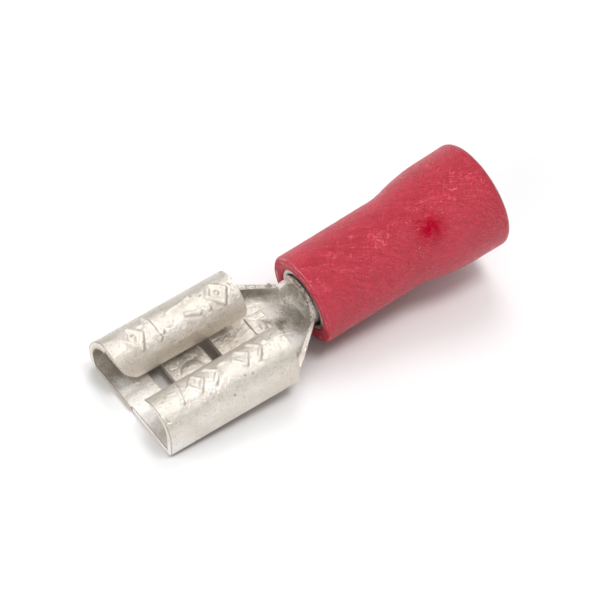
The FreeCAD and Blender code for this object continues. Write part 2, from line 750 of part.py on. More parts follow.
def sleeve_outside(body):
    neck = sizes.neck_radius
    front = sizes.front_round
    start = sizes.sleeve_length - sizes.swell_distance
    middle = (sizes.sleeve_length - sizes.swell_middle_distance, sizes.swell_middle_radius)
    finish = (sizes.sleeve_length - sizes.flare_distance, sizes.flare_start_radius)
    flare = sizes.flare_radius
    length = sizes.sleeve_length
    rear = sizes.rear_round
    first_turn = 2 * math.atan((middle[1] - neck) / (middle[0] - start))
    first_radius = (middle[0] - start) / math.sin(first_turn)
    second_chord = math.atan((finish[1] - middle[1]) / (finish[0] - middle[0]))
    second_turn = 2 * (first_turn - second_chord)
    second_length = math.hypot(finish[0] - middle[0], finish[1] - middle[1])
    second_radius = second_length / 2 / math.sin(second_turn / 2)
    second_centre = (
        middle[0] + second_radius * math.sin(first_turn),
        middle[1] - second_radius * math.cos(first_turn),
    )
    sketch = sketch_on(body, "SleeveProfile", "XZ_Plane")
    face = line(sketch, (0, 0), (0, neck - front))
    front_arc = arc(sketch, (front, neck - front), front, 90, 180)
    neck_line = line(sketch, (front, neck), (start, neck))
    hollow = arc(sketch, (start, neck + first_radius), first_radius, 270, 270 + math.degrees(first_turn))
    swell = arc(
        sketch,
        second_centre,
        second_radius,
        90 + math.degrees(first_turn - second_turn),
        90 + math.degrees(first_turn),
    )
    flare_line = line(sketch, finish, (length - rear, flare))
    rear_arc = arc(sketch, (length - rear, flare - rear), rear, 0, 90)
    end_line = line(sketch, (length, flare - rear), (length, 0))
    axis_line = line(sketch, (length, 0), (0, 0))
    join(sketch, face, 1, -1, 1)
    sketch.addConstraint(Sketcher.Constraint("Vertical", face))
    flow(sketch, face, 2, front_arc, 2)
    flow(sketch, front_arc, 1, neck_line, 1)
    sketch.addConstraint(Sketcher.Constraint("Horizontal", neck_line))
    flow(sketch, neck_line, 2, hollow, 1)
    flow(sketch, hollow, 2, swell, 2)
    join(sketch, swell, 1, flare_line, 1)
    join(sketch, flare_line, 2, rear_arc, 2)
    flow(sketch, rear_arc, 1, end_line, 1)
    sketch.addConstraint(Sketcher.Constraint("Vertical", end_line))
    join(sketch, end_line, 2, axis_line, 1)
    join(sketch, axis_line, 2, face, 1)
    sketch.addConstraint(Sketcher.Constraint("Horizontal", axis_line))
    round_to(sketch, front_arc, front, "Sizes.front_round")
    above(sketch, neck_line, 2, neck, "Sizes.neck_radius")
    across(sketch, neck_line, 2, start, "Sizes.sleeve_length - Sizes.swell_distance")
    across(sketch, hollow, 2, middle[0], "Sizes.sleeve_length - Sizes.swell_middle_distance")
    above(sketch, hollow, 2, middle[1], "Sizes.swell_middle_radius")
    across(sketch, flare_line, 1, finish[0], "Sizes.sleeve_length - Sizes.flare_distance")
    above(sketch, flare_line, 1, finish[1], "Sizes.flare_start_radius")
    round_to(sketch, rear_arc, rear, "Sizes.rear_round")
    across(sketch, flare_line, 2, length - rear, "Sizes.sleeve_length - Sizes.rear_round")
    above(sketch, flare_line, 2, flare, "Sizes.flare_radius")
    across(sketch, end_line, 2, length, "Sizes.sleeve_length")
    return sketch


def insulating_sleeve():
    body = doc.addObject("PartDesign::Body", "Sleeve")
    body.Label = "sleeve"
    turned(body, sleeve_outside(body), "SleeveTurn")
    sketch = sketch_on(body, "BoreProfile", "XZ_Plane")
    seat = ferrule_line(" + Sizes.ferrule_gauge")
    opening = "Sizes.bell_radius + Sizes.ferrule_gauge"
    corners = [
        ("0", "0"),
        ("0", opening + " + Sizes.opening_bevel"),
        ("Sizes.opening_bevel", opening),
    ]
    corners = corners + seat[1:]
    corners.append(("Sizes.sleeve_length", "Sizes.entry_radius"))
    corners.append(("Sizes.sleeve_length", "0"))
    ring_profile(sketch, corners)
    bore = body.newObject("PartDesign::Groove", "SleeveBore")
    bore.Profile = sketch
    bore.ReferenceAxis = (sketch, ["H_Axis"])
    bore.Angle = 360
    body.Tip = bore
    rest_on_axis(body)
    return body


pieces = [contact(), ferrule(), insulating_sleeve()]
doc.recompute()

for item in doc.Objects:
    for word in ("Invalid", "Error"):
        if word in item.State:
            raise ValueError(item.Name + " is " + word + ": " + str(item.getStatusString()))

os.makedirs("parts", exist_ok=True)
for piece in pieces:
    if piece.Shape.isNull() or not piece.Shape.isValid():
        raise ValueError(piece.Label + " has no valid shape")
    if len(piece.Shape.Solids) != 1:
        raise ValueError(piece.Label + " is not one solid: " + str(len(piece.Shape.Solids)))
for piece in pieces:
    piece.Shape.exportStep("parts/" + piece.Label + ".step")
    box = piece.Shape.BoundBox
    print(piece.Label, round(piece.Shape.Volume, 3), box)
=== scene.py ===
import math
import bpy
from mathutils import Matrix, Vector, noise


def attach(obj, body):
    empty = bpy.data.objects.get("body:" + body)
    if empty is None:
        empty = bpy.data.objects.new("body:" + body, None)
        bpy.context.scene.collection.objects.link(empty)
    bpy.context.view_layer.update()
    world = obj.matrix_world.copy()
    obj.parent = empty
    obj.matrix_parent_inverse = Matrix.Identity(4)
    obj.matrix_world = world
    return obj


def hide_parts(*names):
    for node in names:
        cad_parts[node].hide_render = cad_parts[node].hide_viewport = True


# Female spade terminal. The builder's helpers below take millimetres in the
# contact's own frame, floor flat and mouth at x = 0, and give metres at rest.

MM = 0.001

# How the contact leans at rest, and where its mouth then lies
TILT = math.radians(7.16743089)
SHIFT = -11.18001192

# The axis of barrel, ferrule and sleeve: its pitch to the contact's floor and its start
PITCH = math.radians(3.7)
AXIS_X = 10.915
AXIS_Z = 1.216

# The rolled edges: outer radius, and the middle of each roll
ROLL_RADIUS = 1.4
ROLL_SIDE = 2.32
ROLL_HEIGHT = 1.53

CONTACT_LINE = Vector((math.cos(TILT), 0, math.sin(TILT)))
SLEEVE_AXIS = Vector((math.cos(TILT + PITCH), 0, math.sin(TILT + PITCH)))

scene = bpy.context.scene
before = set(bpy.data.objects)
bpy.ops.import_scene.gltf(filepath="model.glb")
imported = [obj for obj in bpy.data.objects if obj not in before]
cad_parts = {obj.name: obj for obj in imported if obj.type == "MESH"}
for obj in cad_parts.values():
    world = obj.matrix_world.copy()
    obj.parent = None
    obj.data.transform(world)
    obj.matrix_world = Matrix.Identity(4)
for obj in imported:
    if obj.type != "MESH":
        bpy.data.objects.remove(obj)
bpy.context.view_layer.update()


def rest(x, y, z):
    across = x * math.cos(TILT) - z * math.sin(TILT) + SHIFT
    up = x * math.sin(TILT) + z * math.cos(TILT)
    return Vector((across, y, up)) * MM


def on_axis(s, radius, angle):
    # A place at station s from the sleeve's front. Angle 0 looks to the far side, 90 up, 180 to the near side
    turn = math.radians(angle)
    side = radius * math.cos(turn)
    lift = radius * math.sin(turn)
    x = AXIS_X + s * math.cos(PITCH) - lift * math.sin(PITCH)
    z = AXIS_Z + s * math.sin(PITCH) + lift * math.cos(PITCH)
    return rest(x, side, z)


def on_roll(x, angle, side, radius=ROLL_RADIUS):
    # The same angles round a rolled edge, side 1 for the far roll, -1 for the near one
    turn = math.radians(angle)
    return rest(x, side * (ROLL_SIDE + radius * math.cos(turn)), ROLL_HEIGHT + radius * math.sin(turn))


def smooth(value):
    value = min(max(value, 0.0), 1.0)
    return value * value * (3 - 2 * value)


def add_mesh(name, points, faces, material, shade=True):
    mesh = bpy.data.meshes.new(name)
    mesh.from_pydata([tuple(point) for point in points], [], faces)
    mesh.materials.append(material)
    mesh.validate()
    for face in mesh.polygons:
        face.use_smooth = shade
    obj = bpy.data.objects.new(name, mesh)
    scene.collection.objects.link(obj)
    return obj


def grid_faces(rows, columns, closed=False):
    faces = []
    last = columns if closed else columns - 1
    for row in range(rows - 1):
        for column in range(last):
            following = (column + 1) % columns
            first = row * columns + column
            second = row * columns + following
            faces.append((first, second, second + columns, first + columns))
    return faces


# Materials

class Nodes:
    def __init__(self, name):
        self.material = bpy.data.materials.new(name)
        self.material.use_nodes = True
        self.tree = self.material.node_tree
        self.shader = self.tree.nodes["Principled BSDF"]
        coordinates = self.tree.nodes.new("ShaderNodeTexCoord")
        self.place = self.scaled(coordinates.outputs["Object"], (1000, 1000, 1000))

    def link(self, source, target):
        self.tree.links.new(source, target)

    def scaled(self, source, scale, turn=(0, 0, 0), shift=(0, 0, 0)):
        node = self.tree.nodes.new("ShaderNodeMapping")
        node.inputs["Scale"].default_value = scale
        node.inputs["Rotation"].default_value = turn
        node.inputs["Location"].default_value = shift
        self.link(source, node.inputs["Vector"])
        return node.outputs["Vector"]

    def noise(self, source, scale, detail=4.0, rough=0.55, bend=0.0):
        node = self.tree.nodes.new("ShaderNodeTexNoise")
        node.inputs["Scale"].default_value = scale
        node.inputs["Detail"].default_value = detail
        node.inputs["Roughness"].default_value = rough
        node.inputs["Distortion"].default_value = bend
        self.link(source, node.inputs["Vector"])
        return node.outputs["Fac"]

    def creased(self, source, scale):
        # 0 along thin wandering lines, rising to 1 a little way off them
        field = self.noise(source, scale, 4, 0.6, 0.6)
        off = self.math("ABSOLUTE", self.math("SUBTRACT", field, 0.5), 0)
        return self.levels(off, 0.0, 0.055)

    def levels(self, source, low, high, bottom=0.0, top=1.0):
        node = self.tree.nodes.new("ShaderNodeMapRange")
        node.inputs["From Min"].default_value = low
        node.inputs["From Max"].default_value = high
        node.inputs["To Min"].default_value = bottom
        node.inputs["To Max"].default_value = top
        self.link(source, node.inputs["Value"])
        return node.outputs["Result"]

    def math(self, kind, first, second):
        node = self.tree.nodes.new("ShaderNodeMath")
        node.operation = kind
        for socket, value in ((0, first), (1, second)):
            if isinstance(value, (int, float)):
                node.inputs[socket].default_value = value
            else:
                self.link(value, node.inputs[socket])
        return node.outputs["Value"]

    def blend(self, factor, first, second):
        node = self.tree.nodes.new("ShaderNodeMix")
        node.data_type = "RGBA"
        self.link(factor, node.inputs["Factor"])
        for name, value in (("A", first), ("B", second)):
            target = [item for item in node.inputs if item.name == name and item.type == "RGBA"][0]
            if isinstance(value, tuple):
                target.default_value = value + (1,)
            else:
                self.link(value, target)
        return [item for item in node.outputs if item.type == "RGBA"][0]

    def over(self, colour, tint, mask, share=1.0):
        # Lays a tint over a colour where the mask is 1
        return self.blend(self.math("MULTIPLY", mask, share), colour, tint)

    def weighted(self, terms):
        # The sum of values, each times its weight
        total = None
        for value, weight in terms:
            part = self.math("MULTIPLY", value, weight)
            total = part if total is None else self.math("ADD", total, part)
        return total

    def spots(self, balls):
        # The strongest of several soft balls, each with its centre, radius, soft width and share
        strongest = None
        for centre, radius, soft, share in balls:
            ball = self.math("MULTIPLY", self.spot(centre, radius, soft), share)
            strongest = ball if strongest is None else self.math("MAXIMUM", strongest, ball)
        return strongest

    def spot(self, centre, radius, soft):
        # 1 inside a ball round the centre, which is in metres, falling to 0 over the soft width
        offset = self.tree.nodes.new("ShaderNodeVectorMath")
        offset.operation = "DISTANCE"
        self.link(self.place, offset.inputs[0])
        offset.inputs[1].default_value = centre * 1000
        return self.levels(offset.outputs["Value"], radius + soft, max(radius - soft, 0.0))

    def rings(self, centre, pace):
        # Uneven rings round a centre, which is in metres
        offset = self.tree.nodes.new("ShaderNodeVectorMath")
        offset.operation = "DISTANCE"
        self.link(self.place, offset.inputs[0])
        offset.inputs[1].default_value = centre * 1000
        node = self.tree.nodes.new("ShaderNodeTexNoise")
        node.noise_dimensions = "1D"
        node.inputs["Scale"].default_value = pace
        node.inputs["Detail"].default_value = 1.0
        drift = self.math("MULTIPLY", self.noise(self.place, 0.9, 2), 0.35)
        self.link(self.math("ADD", offset.outputs["Value"], drift), node.inputs["W"])
        return node.outputs["Fac"]

    def ahead(self, along, place, first, last):
        # 1 before the first station along a line from a place in metres, 0 after the last one
        node = self.tree.nodes.new("ShaderNodeVectorMath")
        node.operation = "DOT_PRODUCT"
        self.link(self.place, node.inputs[0])
        node.inputs[1].default_value = along
        offset = along.dot(place) * 1000
        return self.levels(node.outputs["Value"], last + offset, first + offset)

    def bump(self, height, strength, distance, normal=None):
        node = self.tree.nodes.new("ShaderNodeBump")
        node.inputs["Strength"].default_value = strength
        node.inputs["Distance"].default_value = distance
        self.link(height, node.inputs["Height"])
        if normal is not None:
            self.link(normal, node.inputs["Normal"])
        return node.outputs["Normal"]

    def bevel(self, radius):
        node = self.tree.nodes.new("ShaderNodeBevel")
        node.samples = 6
        node.inputs["Radius"].default_value = radius
        return node.outputs["Normal"]

    def edges(self, bevelled, start=0.98, full=0.80):
        geometry = self.tree.nodes.new("ShaderNodeNewGeometry")
        node = self.tree.nodes.new("ShaderNodeVectorMath")
        node.operation = "DOT_PRODUCT"
        self.link(bevelled, node.inputs[0])
        self.link(geometry.outputs["Normal"], node.inputs[1])
        return self.levels(node.outputs["Value"], start, full)

    def hollow(self, reach):
        node = self.tree.nodes.new("ShaderNodeAmbientOcclusion")
        node.samples = 8
        node.inputs["Distance"].default_value = reach
        return self.levels(node.outputs["AO"], 0.42, 0.06)


def tinned(name, clean, warm, grime_and_shade, dull=0.0, marks=(), metal=0.75):
    # Worn tin plate: two tones of tin, and a third one for specks of grime and for painted shade in crevices
    mat = Nodes(name)
    broad = mat.levels(mat.noise(mat.place, 0.42, 5, 0.6, 0.6), 0.36, 0.66)
    mottle = mat.levels(mat.noise(mat.place, 2.6, 8, 0.62, 0.3), 0.34, 0.68)
    grain = mat.noise(mat.place, 11, 6, 0.7)
    drawn = mat.scaled(mat.place, (0.7, 13, 13), (0, 0, math.radians(9)))
    lines = mat.noise(drawn, 1.0, 5, 0.6)
    crossed = mat.scaled(mat.place, (12, 0.9, 12), (0, 0, math.radians(-28)), (4, 2, 9))
    scratch = mat.levels(mat.noise(crossed, 1.0, 3, 0.5), 0.66, 0.74)
    moved = mat.scaled(mat.place, (1, 1, 1), (0, 0, 0), (7, 3, 5))
    specks = mat.levels(mat.noise(moved, 3.4, 4, 0.65), 0.625, 0.72)
    fine = mat.levels(mat.noise(mat.place, 7.5, 3, 0.6), 0.56, 0.72)
    pits = mat.noise(mat.place, 5.0, 4, 0.65, 0.5)
    rounded = mat.bevel(0.00007)
    edge = mat.edges(rounded)
    crevice = mat.hollow(0.0012)
    wide_edge = mat.edges(mat.bevel(0.00012), 0.995, 0.90)
    rim = mat.math("MULTIPLY", wide_edge, mat.ahead(CONTACT_LINE, rest(0, 0, 0), 0.15, 0.35))
    # Painted light: pale, less metallic tin that stands in for pools of light
    painted_light = mat.spots(painted_light_spots)
    colour = mat.blend(broad, clean, warm)
    colour = mat.over(colour, warm, mottle, 0.40)
    colour = mat.over(colour, (0.98, 0.955, 0.925), painted_light, 0.75)
    colour = mat.over(colour, grime_and_shade, specks, 0.50)
    colour = mat.over(colour, grime_and_shade, fine, 0.31)
    # Painted shade: darker in crevices and hollows where shade falls
    colour = mat.over(colour, grime_and_shade, crevice, 0.60)
    colour = mat.over(colour, (0.93, 0.90, 0.86), edge, 0.45)
    colour = mat.over(colour, (0.26, 0.19, 0.12), rim, 0.85)
    for centre, radius, soft, share, tint in marks:
        patch = mat.spot(centre, radius, soft)
        patch = mat.math("MULTIPLY", patch, mat.levels(mottle, 0.0, 0.8, 0.55, 1.0))
        colour = mat.over(colour, tint, patch, share)
    mat.link(colour, mat.shader.inputs["Base Color"])
    satin = mat.levels(mottle, 0.0, 1.0, 0.27 + dull, 0.43 + dull)
    rough = mat.weighted([(satin, 1.0), (specks, 0.15), (scratch, -0.08)])
    mat.link(rough, mat.shader.inputs["Roughness"])
    # Less metallic under the painted light
    mat.link(mat.levels(painted_light, 0.0, 1.0, metal, metal * 0.20), mat.shader.inputs["Metallic"])
    height = mat.weighted([
        (grain, 0.55),
        (lines, 0.5),
        (mottle, 0.9),
        (pits, 0.45),
        (scratch, -0.25),
        (specks, -0.5),
    ])
    mat.link(mat.bump(height, 0.8, 0.00005, rounded), mat.shader.inputs["Normal"])
    return mat


def vinyl():
    # Dull red vinyl with fine wrinkles, one deep red spot, light strands on its front face and painted shade
    # in its crevices
    mat = Nodes("red_vinyl")
    broad = mat.levels(mat.noise(mat.place, 0.33, 4, 0.55, 0.4), 0.35, 0.68)
    grain = mat.noise(mat.place, 14, 5, 0.7)
    level = mat.scaled(mat.place, (1, 1, 1), (0, 0, math.radians(34)))
    creases = mat.creased(mat.scaled(level, (0.55, 3.6, 2.2)), 1.0)
    slanted = mat.scaled(mat.place, (1, 1, 1), (0, 0, math.radians(-52)))
    crossing = mat.creased(mat.scaled(slanted, (0.7, 3.2, 1.8), (0, 0, 0), (3, 8, 1)), 1.1)
    leather = mat.creased(mat.scaled(level, (1.7, 3.2, 2.6), (0, 0, 0), (6, 2, 4)), 1.5)
    folds = mat.noise(mat.scaled(level, (0.8, 2.6, 2.0), (0, 0, 0), (1, 5, 3)), 1.0, 6, 0.62, 0.8)
    dust = mat.levels(mat.noise(mat.place, 5.5, 2, 0.5), 0.735, 0.765)
    blotch = mat.spot(on_axis(7.36, 2.82, 127), 0.58, 0.56)
    blotch = mat.math("MULTIPLY", blotch, mat.levels(mat.noise(mat.place, 2.0, 6, 0.75), 0.30, 0.52))
    rounded = mat.bevel(0.00012)
    crevice = mat.hollow(0.0014)
    face = mat.ahead(SLEEVE_AXIS, on_axis(0, 0, 0), 0.02, 0.12)
    strands = mat.levels(mat.rings(on_axis(0, 0, 0), 5.5), 0.54, 0.62)
    broken = mat.levels(mat.noise(mat.place, 1.3, 3), 0.42, 0.58)
    strands = mat.math("MULTIPLY", mat.math("MULTIPLY", strands, broken), face)
    colour = mat.blend(broad, (0.610, 0.026, 0.057), (0.530, 0.021, 0.047))
    colour = mat.over(colour, (0.66, 0.050, 0.080), creases, 0.06)
    colour = mat.over(colour, (0.45, 0.0, 0.022), blotch)
    colour = mat.over(colour, (0.74, 0.075, 0.115), face, 0.6)
    colour = mat.over(colour, (0.88, 0.50, 0.54), strands, 0.65)
    # Painted shade: darker in crevices where shade falls
    colour = mat.over(colour, (0.10, 0.008, 0.014), crevice, 0.7)
    colour = mat.over(colour, (0.85, 0.55, 0.55), dust, 0.5)
    mat.link(colour, mat.shader.inputs["Base Color"])
    mat.link(mat.levels(folds, 0.3, 0.7, 0.27, 0.40), mat.shader.inputs["Roughness"])
    duller = mat.levels(face, 0.0, 1.0, 1.0, 0.35)
    shine = mat.math("MULTIPLY", mat.levels(blotch, 0.0, 0.7, 0.60, 0.0), duller)
    mat.link(shine, mat.shader.inputs["Specular IOR Level"])
    height = mat.weighted([
        (grain, 0.10),
        (folds, 1.0),
        (creases, 0.50),
        (crossing, 0.28),
        (leather, 0.30),
    ])
    mat.link(mat.bump(height, 0.74, 0.00011, rounded), mat.shader.inputs["Normal"])
    return mat


# Painted light: spots where the tin is painted pale as pools of light: centre, radius, soft width and share
painted_light_spots = [
    (rest(0.6, -0.9, 0.1), 1.6, 0.5, 1.0),
    (rest(0.3, -3.3, 0.4), 1.2, 0.7, 1.0),
    (rest(9.6, -1.6, 0.4), 0.75, 0.45, 1.0),
    (rest(0.45, 1.30, 0.3), 0.62, 0.35, 1.0),
    (on_axis(-0.30, 1.05, 282), 0.38, 0.35, 0.7),
    (rest(9.65, 1.0, 0.4), 0.45, 0.3, 0.8),
]

# Stains and painted shade on the tin: centre, radius, soft width, share and tint
brown = (0.13, 0.095, 0.06)
grey = (0.22, 0.21, 0.19)
# Tint for painted shade
shade = (0.27, 0.235, 0.19)
tin_marks = [
    # Painted shade: the first eight brown marks darken the hollow behind the tab stop's burr
    (rest(8.80, 0.58, 0.46), 0.05, 0.07, 0.75, brown),
    (rest(8.91, 0.45, 0.44), 0.09, 0.09, 0.85, brown),
    (rest(9.06, 0.34, 0.39), 0.14, 0.12, 0.85, brown),
    (rest(9.34, -0.34, 0.33), 0.12, 0.12, 0.70, brown),
    (rest(9.33, 0.16, 0.33), 0.21, 0.17, 0.85, brown),
    (rest(9.60, 0.06, 0.28), 0.19, 0.18, 0.80, brown),
    (rest(9.38, -0.16, 0.33), 0.16, 0.15, 0.80, brown),
    (rest(9.86, 0.02, 0.22), 0.10, 0.20, 0.60, brown),
    (rest(9.30, -0.66, 0.36), 0.07, 0.08, 0.80, grey),
    (on_roll(5.09, 55.4, -1), 0.05, 0.06, 0.8, brown),
    (on_roll(5.53, 50.6, -1), 0.06, 0.07, 0.6, brown),
    (on_roll(4.14, 27.6, -1), 0.04, 0.06, 0.8, brown),
    (on_roll(5.48, 77.8, 1), 0.06, 0.06, 0.9, brown),
    (on_roll(7.92, 52.0, 1), 0.12, 0.10, 0.7, grey),
    # Painted shade: the shade-tinted marks below darken the far trough wall, the throat, the floor under the
    # far roll's lip and the inside of the far curl
    (rest(8.90, 2.45, 0.60), 0.42, 0.22, 0.85, shade),
    (rest(9.32, 2.26, 0.55), 0.44, 0.20, 0.85, shade),
    (rest(9.72, 2.05, 0.52), 0.44, 0.20, 0.85, shade),
    (rest(10.08, 1.82, 0.55), 0.40, 0.22, 0.70, shade),
    (rest(10.42, 1.55, 0.60), 0.34, 0.26, 0.60, shade),
    (rest(10.10, 1.86, 1.20), 0.14, 0.08, 0.70, grey),
    (on_axis(0.40, 1.00, 300), 0.42, 0.30, 0.50, shade),
    (rest(1.20, 1.55, 0.40), 0.22, 0.25, 0.60, shade),
    (rest(3.95, 1.20, 0.40), 0.32, 0.30, 0.60, shade),
    (rest(4.70, 1.08, 0.40), 0.34, 0.30, 0.72, shade),
    (rest(6.60, 1.08, 0.40), 0.38, 0.30, 0.60, shade),
    (rest(0.10, 2.32, 1.53), 1.16, 0.12, 0.65, shade),
    (rest(0.90, 2.32, 1.53), 1.16, 0.12, 0.65, shade),
    (rest(1.70, 2.32, 1.53), 1.16, 0.12, 0.65, shade),
    (on_axis(0.10, 1.20, 195), 0.40, 0.30, 0.60, shade),
]
ferrule_marks = [
    (on_axis(0.05, 1.75, 205), 0.36, 0.25, 0.85, brown),
    (on_axis(0.05, 1.78, 238), 0.42, 0.30, 0.80, brown),
]
contact_tin = tinned(
    "tinned_brass",
    (0.85, 0.80, 0.735),
    (0.73, 0.665, 0.58),
    (0.22, 0.165, 0.11),
    0.0,
    tin_marks,
)
ferrule_tin = tinned(
    "ferrule_tin",
    (0.80, 0.77, 0.72),
    (0.66, 0.61, 0.55),
    (0.10, 0.085, 0.07),
    0.05,
    ferrule_marks,
)
cut_tin = tinned("cut_tin", (0.94, 0.905, 0.85), (0.84, 0.79, 0.72), (0.26, 0.21, 0.16), 0.08, (), 0.4)
red_vinyl = vinyl()
for name, material in (("contact", contact_tin), ("ferrule", ferrule_tin), ("sleeve", red_vinyl)):
    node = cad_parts[name]
    node.data.materials.clear()
    node.data.materials.append(material.material)
    for face in node.data.polygons:
        face.material_index = 0


# Sleeve with the soft unevenness of the moulded vinyl

def sleeve_line():
    # Stations and radii from the opening round the outside and back through the bore
    length, neck, flare, entry = 11.77, 2.65, 3.15, 2.55
    opening, seat, narrow, wide = 1.94, 1.82, 1.6, 2.35
    wide_front, narrow_rear, narrow_front, seat_rear, seat_front = 7.5, 6.1, 0.95, 0.6, 0.12
    front_round, rear_round, entry_depth = 0.2, 0.39, 0.87
    start, middle, finish = 6.0, (7.1, 2.79), (9.6, 3.12)
    face, rear = neck - front_round, length - rear_round
    first_turn = 2 * math.atan((middle[1] - neck) / (middle[0] - start))
    first_radius = (middle[0] - start) / math.sin(first_turn)
    chord = math.atan((finish[1] - middle[1]) / (finish[0] - middle[0]))
    second_turn = 2 * (first_turn - chord)
    second_length = math.hypot(finish[0] - middle[0], finish[1] - middle[1])
    second_radius = second_length / 2 / math.sin(second_turn / 2)
    points = [(0.0, opening + (face - opening) * step / 23) for step in range(24)]
    for step in range(1, 7):
        turn = math.radians(90 * step / 6)
        points.append((front_round - front_round * math.cos(turn), face + front_round * math.sin(turn)))
    for step in range(1, 83):
        points.append((front_round + (start - front_round) * step / 82, neck))
    for step in range(1, 15):
        turn = first_turn * step / 14
        points.append((start + first_radius * math.sin(turn), neck + first_radius * (1 - math.cos(turn))))
    centre_s = middle[0] + second_radius * math.sin(first_turn)
    centre_r = middle[1] - second_radius * math.cos(first_turn)
    for step in range(1, 33):
        turn = first_turn - second_turn * step / 32
        points.append((centre_s - second_radius * math.sin(turn), centre_r + second_radius * math.cos(turn)))
    for step in range(1, 25):
        share = step / 24
        points.append((finish[0] + (rear - finish[0]) * share, finish[1] + (flare - finish[1]) * share))
    for step in range(1, 9):
        turn = math.radians(90 * step / 8)
        points.append((rear + rear_round * math.sin(turn), flare - rear_round + rear_round * math.cos(turn)))
    for step in range(1, 5):
        points.append((length, flare - rear_round - (flare - rear_round - entry) * step / 4))
    for step in range(1, 9):
        points.append((length - entry_depth * step / 8, entry - (entry - wide) * step / 8))
    points = points + [(wide_front, wide), (narrow_rear, narrow), (narrow_front, narrow)]
    points = points + [(seat_rear, seat), (seat_front, seat)]
    # Ends a micrometre short, so that the skin stays inside the solid's box
    return [(min(s, length - 0.001), radius) for s, radius in points]


def sleeve_dent(s, radius, angle):
    # How far the skin lies inside the drawn outline, never outside it
    least = 0.002
    if radius < 2.0:
        return 0.0
    if s > 11.7:
        return least
    turn = math.radians(angle)
    spot = Vector((s * 0.45, radius * math.cos(turn) * 0.9, radius * math.sin(turn) * 0.9))
    broad = noise.noise(spot)
    spot = Vector((s * 1.1, radius * math.cos(turn) * 2.6, radius * math.sin(turn) * 2.6 + 5))
    folds = noise.fractal(spot, 0.9, 2.1, 4)
    amount = 0.012 + 0.010 * broad + 0.007 * max(min(folds, 1.2), -1.2)
    return max(amount, 0.0) * smooth((11.6 - s) / 0.8) + least


def face_ridge(radius, angle):
    # How far the strands on the front face are sunk
    pace, depth = 0.15, 0.034
    if radius <= 1.95 or radius >= 2.44:
        return 0.0
    drift = 0.05 * noise.noise(Vector((angle * 0.05, radius * 3, 2)))
    return depth * max(math.sin((radius + drift) * 2 * math.pi / pace), 0.0)


def vinyl_sleeve():
    line = sleeve_line()
    columns = 240
    points = []
    for s, radius in line:
        for column in range(columns):
            angle = 360 * column / columns
            ridge = face_ridge(radius, angle) if s < 0.05 else 0.0
            points.append(on_axis(s + ridge, radius - sleeve_dent(s, radius, angle), angle))
    faces = grid_faces(len(line), columns, True)
    start = (len(line) - 1) * columns
    for column in range(columns):
        following = (column + 1) % columns
        faces.append((start + column, start + following, following, column))
    return add_mesh("vinyl_sleeve", points, faces, red_vinyl.material)


sleeve = vinyl_sleeve()
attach(sleeve, "root")
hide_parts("sleeve")


# Raised marks pressed into the rolls: lozenges, chevrons, bars and dots only.
# A stroke is (x, u, x, u), with x along the contact and u the way round from the roll's top.

def stroke_distance(x, u, stroke):
    x0, u0, x1, u1 = stroke
    along_x, along_u = x1 - x0, u1 - u0
    length = along_x * along_x + along_u * along_u
    share = 0.0
    if length > 0:
        share = min(max(((x - x0) * along_x + (u - u0) * along_u) / length, 0.0), 1.0)
    return math.hypot(x - x0 - share * along_x, u - u0 - share * along_u)


def lozenge(x, u, half_x, half_u, lean=0.0):
    top = (x + lean, u + half_u)
    low = (x - lean, u - half_u)
    left = (x - half_x, u)
    right = (x + half_x, u)
    corners = (top, right, low, left)
    strokes = []
    for index in range(4):
        start, end = corners[index], corners[(index + 1) % 4]
        strokes.append((start[0], start[1], end[0], end[1]))
    return strokes


def chevron(x, u, half_x, half_u):
    return [(x - half_x, u + half_u, x + half_x, u), (x + half_x, u, x - half_x, u - half_u)]


def raised_marks(name, side, first, last, strokes, width=0.25, height=0.085):
    # A patch of the roll's skin between two stations, sunk below it except at the strokes
    low, high, grid, sunk = -1.25, 1.45, 0.036, 0.022
    rows = int((last - first) / grid)
    columns = int((high - low) / grid)
    points = []
    for row in range(rows):
        x = first + (last - first) * row / (rows - 1)
        for column in range(columns):
            u = low + (high - low) * column / (columns - 1)
            near = min(stroke_distance(x, u, stroke) for stroke in strokes)
            wobble = 0.02 * noise.noise(Vector((x * 3, u * 3, side * 4)))
            lift = -sunk + (height + sunk) * smooth((width + wobble - near) / width)
            points.append(on_roll(x, 90 + math.degrees(u / ROLL_RADIUS), side, ROLL_RADIUS + lift))
    faces = grid_faces(rows, columns)
    if side > 0:
        faces = [tuple(reversed(face)) for face in faces]
    marks = add_mesh(name, points, faces, contact_tin.material)
    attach(marks, "root")


far_strokes = lozenge(1.62, 0.22, 0.50, 0.78, 0.08)
far_strokes = far_strokes + [(1.62, 0.22, 1.62, 0.22)]
far_strokes = far_strokes + [(2.72, -0.62, 2.86, 0.98), (3.12, 0.72, 3.12, 0.72)]
far_strokes = far_strokes + [(3.95, -0.10, 5.45, -0.34), (4.75, 0.52, 5.42, 0.78)]
far_strokes = far_strokes + lozenge(6.80, 0.28, 0.56, 0.70, 0.10)
far_strokes = far_strokes + [(6.82, 0.30, 6.82, 0.30), (6.02, 0.85, 6.02, 0.85)]
raised_marks("far_marks", 1, 0.85, 7.65, far_strokes)
near_strokes = [(1.42, -0.50, 1.72, 0.72)]
near_strokes = near_strokes + lozenge(2.62, 0.12, 0.42, 0.58, 0.05)
near_strokes = near_strokes + chevron(3.72, 0.12, 0.24, 0.60)
near_strokes = near_strokes + [(4.32, 0.44, 4.62, 0.40)]
near_strokes = near_strokes + lozenge(5.42, 0.16, 0.42, 0.58, -0.05)
near_strokes = near_strokes + chevron(6.46, 0.12, 0.22, 0.62)
near_strokes = near_strokes + [(7.05, 0.35, 7.05, 0.35)]
raised_marks("near_marks", -1, 0.95, 7.5, near_strokes, 0.23, 0.075)


# Rough cut edges and burrs

